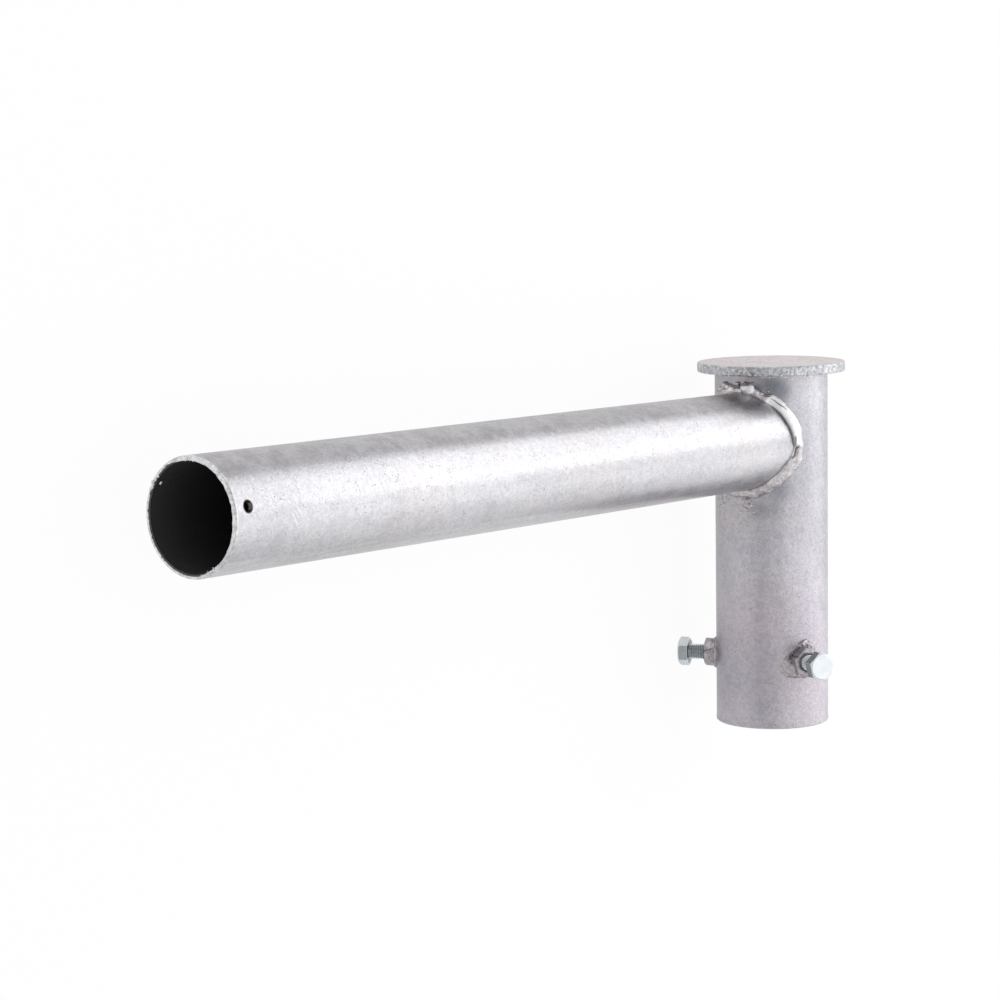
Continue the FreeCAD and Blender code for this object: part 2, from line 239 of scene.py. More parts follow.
def blob_piece(name, blobs, voxel):
    """One skin over many ellipsoids: (centre, outward direction, radius, flatness)."""
    work = bmesh.new()
    for centre, outward, radius, flatness in blobs:
        spin = ROW_UP.rotation_difference(outward).to_matrix().to_4x4()
        scale = Matrix.Diagonal((radius, radius, radius * flatness, 1.0))
        place = Matrix.Translation(centre) @ spin @ scale
        bmesh.ops.create_icosphere(work, subdivisions=3, radius=1.0, matrix=place)
    mesh = bpy.data.meshes.new(name)
    work.to_mesh(mesh)
    work.free()
    piece = add_object(name, mesh)
    remesh = piece.modifiers.new("skin", "REMESH")
    remesh.mode = "VOXEL"
    remesh.voxel_size = voxel
    smooth = piece.modifiers.new("soften", "SMOOTH")
    smooth.factor = 0.5
    smooth.iterations = 2
    graph = bpy.context.evaluated_depsgraph_get()
    skin = bpy.data.meshes.new_from_object(piece.evaluated_get(graph))
    piece.modifiers.clear()
    piece.data = skin
    return piece


def sleeve_blob(angle, height, out, radius, flatness):
    """A lump on the sleeve for blob_piece, from sizes in millimetres."""
    centre = on_sleeve(angle, height * MM, out * MM)
    return centre, sleeve_direction(angle), radius * MM, flatness


def end_blob(angle, along, out, radius, flatness):
    """A lump on the arm's open end for blob_piece, from sizes in millimetres."""
    centre = on_arm(ARM_REACH + along * MM, angle, out * MM)
    return centre, ARM_AXIS, radius * MM, flatness


def store(piece, name, values):
    """Keep one number for each point of a piece, for its material to read."""
    layer = piece.data.attributes.new(name, "FLOAT", "POINT")
    layer.data.foreach_set("value", np.asarray(values, dtype=np.float32))


def read(items, name, width, kind=float):
    """A property of a mesh's elements as an array with so many columns."""
    values = np.empty(len(items) * width, dtype=kind)
    items.foreach_get(name, values)
    return values.reshape(-1, width)


def hollows(piece, rounds, depth):
    """How far each point lies under the skin's smoothed shape, as a share of a depth."""
    points = read(piece.data.vertices, "co", 3)
    edges = read(piece.data.edges, "vertices", 2, np.int64)
    degree = np.bincount(edges.ravel(), minlength=len(points))[:, None]
    soft = points
    for _ in range(rounds):
        total = np.zeros_like(soft)
        np.add.at(total, edges[:, 0], soft[edges[:, 1]])
        np.add.at(total, edges[:, 1], soft[edges[:, 0]])
        soft = total / degree
    under = ((soft - points) * read(piece.data.vertex_normals, "vector", 3)).sum(axis=1)
    return np.clip(under / depth, 0.0, 1.0)


def roughen(piece, amount, per_metre, seed):
    """Move a piece's points along their normals by smooth noise."""
    normals = [v.normal.copy() for v in piece.data.vertices]
    for vertex, normal in zip(piece.data.vertices, normals):
        vertex.co += normal * amount * bumps(vertex.co, per_metre, seed)
    piece.data.update()


# ---- materials

EVEN = (1.0, 1.0, 1.0)


class Graph:
    """Short names for the shader nodes that the materials and the world are made of."""

    def __init__(self, owner, place="Object"):
        owner.use_nodes = True
        self.owner = owner
        self.tree = owner.node_tree
        self.place = self.node("TexCoord", place) if place else None

    def fill(self, node, inputs):
        """Set a node's inputs, or link them to the outputs of other nodes."""
        for name, value in inputs.items():
            socket = node.inputs[name]
            if isinstance(value, bpy.types.NodeSocket):
                self.tree.links.new(value, socket)
            else:
                socket.default_value = (*value, 1.0) if socket.type == "RGBA" else value

    def node(self, kind, out, inputs=None, **settings):
        """Add a node and give back one of its outputs."""
        node = self.tree.nodes.new("ShaderNode" + kind)
        for key, value in settings.items():
            setattr(node, key, value)
        self.fill(node, inputs or {})
        return node.outputs[out]

    def shifted(self, seed, stretch=EVEN, turn=0.0):
        """The part's own coordinates turned about Z, stretched, and moved by a seed."""
        spun = self.node("VectorRotate", 0, {"Vector": self.place, "Angle": turn},
                         rotation_type="Z_AXIS")
        shift = (0.37 * seed, 0.53 * seed, 0.71 * seed)
        inputs = {"Vector": spun, "Scale": stretch, "Location": shift}
        return self.node("Mapping", 0, inputs)

    def noise(self, scale, detail=3.0, rough=0.5, stretch=EVEN, seed=0.0, turn=0.0):
        place = self.shifted(seed, stretch, turn)
        inputs = {"Vector": place, "Scale": scale, "Detail": detail, "Roughness": rough}
        return self.node("TexNoise", "Fac", inputs)

    def remap(self, value, low, high, to_low=0.0, to_high=1.0):
        inputs = {0: value, 1: low, 2: high, 3: to_low, 4: to_high}
        return self.node("MapRange", 0, inputs, interpolation_type="SMOOTHSTEP")

    def calc(self, operation, first, second=0.0, third=0.0):
        return self.node("Math", 0, {0: first, 1: second, 2: third}, operation=operation)

    def times(self, first, second):
        return self.calc("MULTIPLY", first, second)

    def times_plus(self, first, second, third):
        return self.calc("MULTIPLY_ADD", first, second, third)

    def most(self, first, second):
        return self.calc("MAXIMUM", first, second)

    def vector(self, operation, first, second=(0.0, 0.0, 0.0), out="Vector"):
        return self.node("VectorMath", out, {0: first, 1: second}, operation=operation)

    def tint(self, base, colour):
        return self.vector("MULTIPLY", base, colour)

    def mix(self, share, first, second):
        inputs = {"Factor": share, "A": first, "B": second}
        return self.node("Mix", "Result", inputs, data_type="RGBA")

    def stain(self, base, share, strength, colour):
        """A colour over the base where the share is high, at most as strong as said."""
        return self.mix(self.times(share, strength), base, colour)

    def shade(self, base, share, change):
        """The base made brighter or darker by a change where the share is high."""
        return self.tint(base, self.times_plus(share, change, 1.0))

    def bump(self, height, distance, under=None):
        """A surface raised by a height from 0 to 1, times a distance in millimetres."""
        inputs = {"Height": height, "Distance": distance * MM}
        if under:
            inputs["Normal"] = under
        return self.node("Bump", 0, inputs)

    def axis(self, name):
        return self.node("SeparateXYZ", name, {0: self.place})

    def stored(self, name):
        """A number kept for each point of the piece."""
        return self.node("Attribute", "Fac", attribute_name=name)

    def finish(self, colour, metallic, roughness, normal):
        inputs = {"Base Color": colour, "Metallic": metallic, "Roughness": roughness}
        inputs["Normal"] = normal
        self.fill(self.tree.nodes["Principled BSDF"], inputs)
        return self.owner


def new_graph(name):
    return Graph(bpy.data.materials.new(name))


ZINC_SCALES = (24.0, 95.0, 330.0, 900.0)    # from soft clouds to the fine grain


def zinc_base(graph, dull, bright, weights, seed):
    """Hot-dip zinc: soft clouds, mottling and a fine grain between two colours."""
    octaves = [graph.noise(s, 2.5, 0.55, seed=seed + i) for i, s in enumerate(ZINC_SCALES)]
    level = 0.0
    for octave, weight in zip(octaves, weights):
        level = graph.times_plus(octave, weight, level)
    half = sum(weights) / 2.0
    base = graph.mix(graph.remap(level, half - 0.13, half + 0.13), dull, bright)
    warm = graph.remap(graph.noise(19.0, 3.0, 0.6, seed=seed + 5.0), 0.46, 0.62)
    hue = graph.mix(warm, (0.993, 1.0, 1.010), (1.013, 0.996, 0.988))
    return graph.tint(base, hue), octaves


def pits(graph, scale, size, seed, low=0.53):
    """1 inside small scattered pits, 0 elsewhere."""
    cells = graph.node("TexVoronoi", 0, {"Vector": graph.shifted(seed), "Scale": scale})
    near = graph.remap(cells, size * 0.4, size, 1.0, 0.0)
    some = graph.remap(graph.noise(scale * 0.21, 2.0, seed=seed + 3), low, low + 0.06)
    return graph.times(near, some)


def scratches(graph, turn, seed):
    """1 on a few thin straight scratches, 0 elsewhere."""
    grain = graph.noise(800.0, 2.0, 0.5, (0.08, 1.0, 0.08), seed, turn)
    some = graph.remap(graph.noise(26.0, 1.0, seed=seed + 1.0), 0.52, 0.62)
    return graph.times(graph.remap(grain, 0.66, 0.72), some)


def near_place(graph, point, inner, outer):
    """1 near a point, fading to 0 between an inner and an outer distance in millimetres."""
    away = graph.vector("DISTANCE", graph.place, tuple(point), "Value")
    return graph.remap(away, inner * MM, outer * MM, 1.0, 0.0)


def axis_distance(graph, start, axis):
    """Distance from a straight line through the part."""
    offset = graph.vector("SUBTRACT", graph.place, tuple(start))
    cross = graph.vector("CROSS_PRODUCT", offset, tuple(axis))
    return graph.vector("LENGTH", cross, out="Value")


def inside_tube(graph, start, axis, bore):
    """1 on a tube's bore, 0 on its outside."""
    reach = axis_distance(graph, start, axis)
    return graph.remap(reach, bore + 0.2 * MM, bore + 0.6 * MM, 1.0, 0.0)


def finish_zinc(graph, base, octaves, metal, rough, heights, normal=None):
    """The zinc's gloss and relief: heights, in millimetres, from its fine grain to its waves."""
    for octave, height in zip(reversed(octaves), heights):
        normal = graph.bump(octave, height, normal)
    return graph.finish(base, metal, graph.remap(octaves[1], 0.3, 0.7, *rough), normal)


def arm_streaks_and_painted_light(graph, base):
    """Streaks along the arm's lower side, painted shade on its upper side, and a patch of painted
    shade on its lower side and a broad painted highlight on its upper side, both towards the open
    end.
    """
    level = graph.times_plus(graph.axis("X"), tan(ARM_RISE), graph.axis("Y"))
    lower = graph.remap(level, ARM_HEIGHT - 29.0 * MM, ARM_HEIGHT - 15.0 * MM, 1.0, 0.12)
    upper = graph.remap(level, ARM_HEIGHT + 19.0 * MM, ARM_HEIGHT + 25.0 * MM)
    along = graph.noise(700.0, 2.0, 0.6, (0.03, 1.0, 1.0), 12.0)
    base = graph.shade(base, graph.times(graph.calc("SUBTRACT", along, 0.5), lower), 0.9)
    # Painted shade: the upper side is darkened and browned.
    upper_shade_strength = graph.remap(graph.noise(90.0, 3.0, 0.75, seed=14.0), 0.40, 0.62, 0.5, 1.0)
    upper_shade_colour = graph.tint(base, (0.715, 0.69, 0.695))
    base = graph.stain(base, upper, upper_shade_strength, upper_shade_colour)
    # Painted shade: a patch on the lower side towards the open end is darkened.
    dull = near_place(graph, on_arm(430 * MM, -80), 20, 130)
    dull = graph.times(dull, graph.calc("SUBTRACT", lower, 0.12))
    base = graph.shade(base, dull, -0.22)
    # Painted highlight: a broad patch on the upper side towards the open end is brightened.
    return graph.shade(base, near_place(graph, on_arm(420 * MM, 30), 40, 190), 0.07)


def hole_painted_shade(graph, base):
    """Painted shade darkening the wall of the fixing hole beside the arm's open end, and a thin
    ring round it.
    """
    hole = on_arm(ARM_REACH - END_HOLE_INSET, END_HOLE_ANGLE)
    beside = axis_distance(graph, hole, arm_normal(hole))
    wall = graph.remap(beside, 3.25 * MM, 3.7 * MM, 1.0, 0.0)
    wall = graph.times(wall, near_place(graph, hole, 6.0, 8.0))
    return graph.stain(base, wall, 0.88, (0.055, 0.042, 0.038))


def galvanised_arm():
    graph = new_graph("galvanised_arm")
    dull, bright = (0.438, 0.433, 0.451), (0.582, 0.573, 0.593)
    base, octaves = zinc_base(graph, dull, bright, (0.12, 0.23, 0.27, 0.38), 1.0)
    specks = graph.most(pits(graph, 520.0, 0.19, 6.0, 0.51), pits(graph, 260.0, 0.12, 9.0, 0.50))
    base = graph.stain(base, specks, 0.55, (0.16, 0.15, 0.145))
    scored = graph.most(scratches(graph, 0.95, 61.0), scratches(graph, 0.70, 64.0))
    base = graph.stain(base, scored, 0.40, (0.85, 0.85, 0.86))
    # Painted shade in the fixing hole, over the arm's streaks, painted shade and painted
    # highlight.
    base = hole_painted_shade(graph, arm_streaks_and_painted_light(graph, base))
    # Painted shade: the arm's bore is made nearly black, duller and less metallic.
    inside = inside_tube(graph, ARM_START, ARM_AXIS, ARM_BORE)
    base = graph.mix(inside, base, (0.040, 0.037, 0.038))
    rough = [graph.times_plus(inside, 0.35, level) for level in (0.27, 0.35)]
    metal = graph.times_plus(inside, -0.75, 0.95)
    dents = graph.bump(graph.times(specks, -1.0), 0.25)
    return finish_zinc(graph, base, octaves, metal, rough, (0.12, 0.10, 0.12), dents)


# Places on the sleeve: angle round it, distance from its mouth and radius in millimetres, and
# how dark the painted shade is there, or how much brighter or darker the zinc is painted.
SLEEVE_SHADE_BLOTS = (
    (219, 211, 13, 0.80), (211, 214, 9, 0.5), (222, 200, 7, 0.5), (220, 150, 12, 0.45),
    (213, 138, 10, 0.3), (180, 211.5, 6, 0.8), (200, 212.5, 4, 0.6), (198, 137, 9, 0.35))
SLEEVE_PAINTED_LIGHT = ((160, 30, 55, -0.14), (249, 205, 34, 0.12), (205, 100, 45, 0.05))


def galvanised_sleeve():
    graph = new_graph("galvanised_sleeve")
    dull, bright = (0.405, 0.398, 0.425), (0.565, 0.548, 0.578)
    base, octaves = zinc_base(graph, dull, bright, (0.20, 0.20, 0.25, 0.35), 11.0)
    specks = graph.most(pits(graph, 480.0, 0.15, 16.0), pits(graph, 240.0, 0.09, 19.0))
    base = graph.stain(base, specks, 0.60, (0.20, 0.18, 0.18))
    low = graph.remap(graph.axis("Y"), 40.0 * MM, 150.0 * MM, 1.0, 0.0)
    base = graph.mix(low, base, graph.tint(base, (1.02, 0.975, 1.01)))
    # Painted shade under the cap plate, between the weld lumps and beside the arm's weld.
    for angle, height, size, dark in SLEEVE_SHADE_BLOTS:
        shade_blot = near_place(graph, on_sleeve(angle, height * MM), size * 0.15, size)
        base = graph.stain(base, shade_blot, dark, (0.17, 0.18, 0.21))
    # Painted highlights and painted shade: patches of the sleeve made brighter or darker.
    for angle, height, size, change in SLEEVE_PAINTED_LIGHT:
        painted_light_amount = near_place(graph, on_sleeve(angle, height * MM), size * 0.2, size)
        base = graph.shade(base, painted_light_amount, change)
    # Painted shade: the sleeve's bore is made dark.
    inside = inside_tube(graph, SLEEVE_START, SLEEVE_AXIS, SLEEVE_BORE)
    base = graph.mix(inside, base, (0.10, 0.098, 0.10))
    dents = graph.bump(graph.times(specks, -1.0), 0.3)
    return finish_zinc(graph, base, octaves, 0.92, (0.36, 0.46), (0.20, 0.24, 0.35), dents)


def galvanised_cap():
    graph = new_graph("galvanised_cap")
    dull, bright = (0.42, 0.380, 0.386), (0.64, 0.575, 0.588)
    base, octaves = zinc_base(graph, dull, bright, (0.20, 0.25, 0.30, 0.25), 21.0)
    torn = graph.remap(graph.noise(520.0, 4.0, 0.80, seed=27.0), 0.36, 0.64)
    sheared = graph.mix(torn, (0.29, 0.295, 0.315), (0.68, 0.685, 0.715))
    reach = axis_distance(graph, SLEEVE_START, SLEEVE_AXIS)
    rim = graph.remap(reach, CAP_R - 0.9 * MM, CAP_R - 0.5 * MM)
    base = graph.mix(rim, base, sheared)
    specks = graph.most(pits(graph, 480.0, 0.20, 26.0, 0.50), pits(graph, 260.0, 0.12, 29.0))
    base = graph.stain(base, specks, 0.80, (0.13, 0.12, 0.13))
    return finish_zinc(graph, base, octaves, 0.9, (0.24, 0.42), (0.16, 0.30, 0.45))


def rough_zinc(name, dull, bright, grime_and_shade, strength, seed):
    """Zinc over weld metal: dark pits, painted shade where the points store a hollow value, and a
    painted highlight where they store one.
    """
    graph = new_graph(name)
    base, octaves = zinc_base(graph, dull, bright, (0.10, 0.25, 0.40, 0.25), seed)
    base = graph.stain(base, pits(graph, 600.0, 0.20, seed + 6.0, 0.50), 0.55, grime_and_shade)
    # Painted shade: the stored hollow value darkens the zinc towards the dark colour.
    dark = graph.remap(graph.stored("hollow"), 0.10, 0.90, 0.0, strength)
    base = graph.mix(dark, base, grime_and_shade)
    # Painted highlight: a pale colour where the points store one.
    highlight_colour = graph.mix(dark, (0.86, 0.86, 0.88), grime_and_shade)
    base = graph.mix(graph.stored("painted_highlight"), base, highlight_colour)
    return finish_zinc(graph, base, octaves, 0.92, (0.24, 0.40), (0.10, 0.22, 0.30))


def plated_screw():
    graph = new_graph("plated_screw")
    cloud = graph.remap(graph.noise(160.0, 3.0, 0.5, seed=51.0), 0.35, 0.65)
    base = graph.mix(cloud, (0.66, 0.70, 0.725), (0.73, 0.765, 0.785))
    # Painted shade: the stored hollow value darkens the plating in the thread's grooves, under
    # the head and on the head's sides.
    base = graph.mix(graph.stored("hollow"), base, (0.045, 0.067, 0.080))
    grain = graph.noise(1600.0, 2.0, seed=53.0)
    rough = graph.remap(grain, 0.3, 0.7, 0.16, 0.24)
    return graph.finish(base, 0.95, rough, graph.bump(grain, 0.02))


# ---- the bead round the arm

BEAD_SECTIONS = 640
BEAD_FACE = [step / 25 for step in range(26)]    # places across the bead's visible face
BEAD_BACK = 7    # points across its hidden back, inside the tube walls


def bead_sides(angle):
    """The directions along the arm and along the sleeve, both away from the joint's edge."""
    root = joint_point(angle)
    ahead = (joint_point(angle + 0.05) - joint_point(angle - 0.05)).normalized()
    off_arm = arm_normal(root)
    up_arm = ahead.cross(off_arm).normalized()
    up_sleeve = ahead.cross(sleeve_normal(root)).normalized()
    if up_arm.dot(ARM_AXIS) < 0:
        up_arm.negate()
    if up_sleeve.dot(off_arm) < 0:
        up_sleeve.negate()
    return root, up_arm, up_sleeve


def bead_legs(angle, root):
    """How far the bead reaches along the arm and along the sleeve."""
    quick = bumps(root, 260.0, 3.0)
    arm_leg = 4.5 + 0.5 * bumps(root, 70.0, 2.0) + 0.5 * quick
    sleeve_leg = 4.8 + 0.6 * bumps(root, 80.0, 4.0) + 0.6 * bumps(root, 300.0, 5.0)
    sleeve_leg += 1.2 * window(angle, -80, -12, 15)
    arm_leg -= 1.0 * window(angle, -24, -6, 8)
    arm_leg -= 0.9 * window(angle, 58, 80, 8)
    sleeve_leg -= 1.0 * window(angle, 60, 80, 8)
    bright = window(angle, -2, 57, 6)
    rise = clip((angle - 5.0) / 45.0)
    arm_leg += (5.6 - 2.6 * rise * rise + 0.3 * quick - arm_leg) * bright
    sleeve_leg += (4.0 + 2.0 * rise + 0.3 * quick - sleeve_leg) * bright
    return max(arm_leg, 2.2) * MM, max(sleeve_leg, 2.4) * MM


def bead_height(angle, across, root):
    """How far the bead's face stands over the straight line from toe to toe."""
    crown = (4.0 * across * (1.0 - across)) ** 0.6
    bright = window(angle, -2, 57, 6)
    runs = bumps(Vector((angle * 0.07, across * 3.4, 0.0)), 1.0, 6.0)
    lift = (1.25 - 0.45 * bright) * crown + 0.35 * runs * crown
    lift -= window(angle, -18, -6, 4) * 1.2 * hump(across, 0.25, 0.13)
    split = hump(across, 0.50 + 0.10 * bumps(root, 200.0, 9.0), 0.05) * window(angle, 38, 54, 8)
    return lift - 0.7 * split


def bead_shelf(angle, across):
    """The flat-topped pass on the upper side: a steep step up from the arm, then level."""
    level = max(0.0, 1.0 - exp(-across * 13.0) - across)
    return window(angle, -2, 46, 14) * 2.1 * level


def bead_painted_shade(angle, across, root):
    """Painted shade in the crevice beside the arm, and in the gaps between passes."""
    wave = 5.0 * bumps(root, 300.0, 14.0)
    beside = 0.85 * window(angle + wave, -14, 50, 8) * hump(across, 0.0, 0.065)
    wedge = 0.8 * window(angle, -4, 10, 6) * hump(across, 0.12, 0.06)
    line = 0.24 + 0.08 * bumps(root, 420.0, 15.0) + 0.010 * (angle + 12.0)
    gap = 0.95 * window(angle + wave, -19, -4, 5) * hump(across, line, 0.075)
    seam = 0.7 * window(angle, 40, 55, 6) * hump(across, 0.5, 0.035)
    low = 0.45 * window(angle + wave, -80, -20, 8) * hump(across, 0.0, 0.06)
    return min(1.0, max(beside, wedge, gap, seam, low))


def bead_row(angle):
    root, up_arm, up_sleeve = bead_sides(angle)
    arm_leg, sleeve_leg = bead_legs(angle, root)
    arm_toe = root + up_arm * arm_leg
    sleeve_toe = root + up_sleeve * sleeve_leg
    outward = (up_arm + up_sleeve).normalized()
    calm = 1.0 - 0.6 * window(angle, 2, 55, 8)
    row = []
    for across in BEAD_FACE:
        crown = (4.0 * across * (1.0 - across)) ** 0.5
        point = arm_toe.lerp(sleeve_toe, across)
        point += outward * bead_height(angle, across, root) * MM
        point += arm_normal(root) * bead_shelf(angle, across) * MM
        rough = 0.24 * bumps(point, 300.0, 7.0) + 0.12 * bumps(point, 900.0, 8.0)
        row.append(point + outward * (rough * calm * crown - 0.25 * (1.0 - crown)) * MM)
    inner = root - outward * 1.2 * MM
    arm_in = arm_toe - arm_normal(arm_toe) * 0.8 * MM
    sleeve_in = sleeve_toe - sleeve_normal(sleeve_toe) * 0.8 * MM
    row += [sleeve_in.lerp(inner, step / BEAD_BACK) for step in (1, 3, 5)]
    return row + [inner.lerp(arm_in, step / BEAD_BACK) for step in (0, 2, 4, 6)]


def make_arm_weld(material):
    angles = [-180.0 + 360.0 * i / BEAD_SECTIONS for i in range(BEAD_SECTIONS)]
    rows = [bead_row(angle) for angle in angles]
    piece = grid_piece("arm_weld_bead", rows, True, merge=False)
    # Painted shade in the bead's crevices and gaps, and in the skin's hollows.
    grime_and_shade = []
    for angle in angles:
        root = joint_point(angle)
        grime_and_shade += [bead_painted_shade(angle, across, root) for across in BEAD_FACE] + [0.0] * BEAD_BACK
    store(piece, "hollow", np.maximum(grime_and_shade, 0.75 * hollows(piece, 5, 0.14 * MM)))
    # Painted highlight on the upper pass.
    painted_highlight = [0.75 * window(angle, -3, 56, 5) for angle in angles]
    store(piece, "painted_highlight", np.repeat(painted_highlight, len(BEAD_FACE) + BEAD_BACK))
    dress(piece, material, "arm_weld")


# Heavy weld runs between the arm and the cap plate: angle round the sleeve, distance from
# its mouth, radius, and how far the middle stands out, in millimetres.
BRIDGE_RUNS = (
    (190, 211.4, 4.8, 2.2), (197, 209.6, 3.2, 1.2), (172, 210.4, 3.3, 1.8),
    (166, 212.0, 2.8, 1.0), (160, 212.8, 2.4, 0.6), (154, 210.2, 2.6, 0.6),
    (147, 207.4, 2.4, 0.6), (202, 208.2, 2.5, 0.8), (207, 206.0, 2.1, 0.6),
    (212, 203.6, 1.9, 0.5), (216, 201.0, 1.7, 0.5), (177, 214.6, 1.5, 0.6))
SPATTER_DROPS = ((187, 142.5, 2.0), (190, 139.5, 1.7), (186, 137.0, 1.3), (158, 142.5, 1.5),
                 (154, 139.0, 1.4), (150, 142.0, 1.3))


def make_bridge_lumps(material):
    """The weld runs under the cap plate, thick and full of small hollows."""
    rng = np.random.default_rng(17)
    blobs = [sleeve_blob(turn, high, out, wide, 0.9) for turn, high, wide, out in BRIDGE_RUNS]
    for _ in range(16):
        angle = rng.uniform(184, 212)
        height = rng.uniform(205.0, 215.5) - 0.20 * max(angle - 192, 0)
        blobs.append(sleeve_blob(angle, height, 0.5, rng.uniform(0.6, 1.4), 0.9))
    piece = blob_piece("arm_weld_lumps", blobs, 0.30 * MM)
    roughen(piece, 0.60 * MM, 210.0, 12.0)
    roughen(piece, 0.16 * MM, 700.0, 13.0)
    # Painted shade in the lumps' hollows.
    store(piece, "hollow", 0.6 * hollows(piece, 30, 0.7 * MM))
    # Painted highlight round the two biggest crowns.
    crowns = [on_sleeve(190, 211.4 * MM, 4.0 * MM), on_sleeve(171, 210.6 * MM, 3.0 * MM)]
    near = [min((v.co - crown).length for crown in crowns) for v in piece.data.vertices]
    store(piece, "painted_highlight", [0.9 * hump(away, 0.0, 4.5 * MM) for away in near])
    dress(piece, material)


def make_spatter(material):
    """Small drops of weld metal on the sleeve, below the arm and beside the bead."""
    rng = np.random.default_rng(23)
    blobs = [sleeve_blob(turn, high, -0.3, wide, 0.7) for turn, high, wide in SPATTER_DROPS]
    for _ in range(110):
        angle = rng.choice((152.0, 188.0)) + rng.normal(0.0, 6.5)
        height = 147.0 - abs(rng.normal(0.0, 6.0))
        blobs.append(sleeve_blob(angle, height, -0.1, rng.uniform(0.3, 1.1), 0.6))
    for _ in range(26):
        angle = rng.uniform(150, 262)
        height = rng.uniform(140, 214)
        blobs.append(sleeve_blob(angle, height, -0.05, rng.uniform(0.25, 0.5), 0.6))
    piece = blob_piece("weld_spatter", blobs, 0.2 * MM)
    # Painted shade in the hollows between the drops.
    store(piece, "hollow", hollows(piece, 8, 0.12 * MM))
    dress(piece, material)


# ---- cap plate

CAP_STEPS = 420


def edge_arc(middle, first):
    """A quarter circle of the cap's rounded edge, downwards from a direction in degrees."""
    arc = [polar(CAP_EDGE, first - 15.0 * step) for step in range(7)]
    return [(CAP_R - CAP_EDGE + aside, middle + up) for aside, up in arc]


def cap_profile():
    """Radius and height above the sleeve's end, from the top's centre round to the bottom's."""
    top = CAP_THICK - CAP_EDGE
    profile = [(r * MM, CAP_THICK) for r in (0, 4, 9, 14, 19, 24, 29, 34, 38, 41, 43.4)]
    profile += edge_arc(top, 90.0)
    profile += [(CAP_R, top - share * (top - CAP_EDGE)) for share in (0.2, 0.4, 0.6, 0.8)]
    profile += edge_arc(CAP_EDGE, 0.0)
    profile += [(r * MM, 0.0) for r in (43, 40, 36, 30, 20, 10, 0)]
    return profile


def make_cap(material):
    angles = [360.0 * step / CAP_STEPS for step in range(CAP_STEPS)]
    rows = [[cap_point(radius, height, angle) for angle in angles]
            for radius, height in cap_profile()]
    dress(grid_piece("cap_disc", rows, False), material, "cap_plate", 50.0)


def cap_point(radius, height, angle):
    """A point of the plate; its sheared rim has shallow waves, small dents and one notch."""
    aside, down = polar(radius, angle)
    point = Vector((aside, SLEEVE_LENGTH + height, -down))
    rim = window(radius, 43.0 * MM, 60.0 * MM, 2.0 * MM)
    wave = 0.12 * bumps(point, 60.0, 61.0) + 0.15 * bumps(point, 260.0, 62.0)
    wave += 0.09 * bumps(point, 700.0, 63.0)
    leaning = angle + (height - CAP_THICK / 2.0) * 900.0
    wave += 0.40 * hump(leaning, 197.6, 0.9) - 0.9 * hump(leaning, 195.0, 1.1)
    out = sleeve_normal(point) if radius > 0 else SLEEVE_START
    uneven = 0.05 * bumps(point, 90.0, 64.0) - 0.05 if height > CAP_THICK / 2.0 else 0.0
    return point + out * rim * (wave - 0.20) * MM + SLEEVE_AXIS * uneven * MM


def cap_weld_row(angle):
    """One section of the thin, uneven bead in the corner under the cap plate."""
    corner = on_sleeve(angle, SLEEVE_LENGTH)
    out = sleeve_direction(angle)
    down = -SLEEVE_AXIS
    wide = CAP_WELD_LEG * (0.80 + 0.35 * bumps(corner, 160.0, 71.0))
    tall = CAP_WELD_LEG * (0.85 + 0.45 * bumps(corner, 190.0, 72.0))
    row = []
    for step in range(9):
        turn = radians(90.0 * step / 8)
        hollow = 1.0 - 0.25 * sin(2 * turn)
        point = corner + out * wide * (1 - sin(turn)) ** 1.2 * hollow
        point = point + down * tall * (1 - cos(turn)) ** 1.2 * hollow
        row.append(point + (out + down) * 0.12 * MM * bumps(point, 700.0, 73.0))
    root = corner - (out + down) * 0.6 * MM
    foot = corner + down * tall * 0.6 - out * 0.6 * MM
    return row + [foot, root, corner + out * wide * 0.6 - down * 0.6 * MM]


def make_cap_weld(material):
    piece = grid_piece("cap_weld_bead", [cap_weld_row(float(i)) for i in range(360)], True)
    dress(piece, material, "cap_weld")


# ---- screws and nuts

CORNER_TURNS = (0.0, 0.5, 1.1, 1.9, 3.2, 5.0, 8.0, 12.0, 17.0, 23.0, 30.0)


def hexagon_reach(flats, turn, turned, rounding):
    """Distance from the centre to a hexagon with rounded corners, in a direction in degrees."""
    away = abs((turn - turned - 60.0) % 60.0 - 30.0)
    half = flats / 2.0
    straight = degrees(atan((half - rounding) * tan(SIXTH) / half))
    if away > 30.0 - straight:
        return half / cos(radians(30.0 - away))
    ahead, aside = polar((half - rounding) / cos(SIXTH), away)
    return ahead + sqrt(rounding ** 2 - aside ** 2)


def ring(reach, height, turns):
    """Points round Z at a height; reach is a number or a function of the direction."""
    row = []
    for turn in turns:
        radius = reach(turn) if callable(reach) else reach
        row.append(Vector((*polar(radius, turn), height)))
    return row


def around(point):
    """A point's distance from Z, and its direction round Z in degrees."""
    return hypot(point.x, point.y), degrees(atan2(point.y, point.x))


def hex_row(flats, turned, rounding, height, turns, circle=1.0):
    """Points round a hexagon, kept within a circle, at a height."""
    return ring(lambda turn: min(hexagon_reach(flats, turn, turned, rounding), circle),
                height, turns)


def hex_turns(turned):
    """Directions round a hexagon, closer together at its corners."""
    turns = []
    for corner in range(6):
        middle = turned + 90.0 + 60.0 * corner
        turns += [middle - away for away in reversed(CORNER_TURNS[1:-1])]
        turns += [middle + away for away in CORNER_TURNS]
    return turns


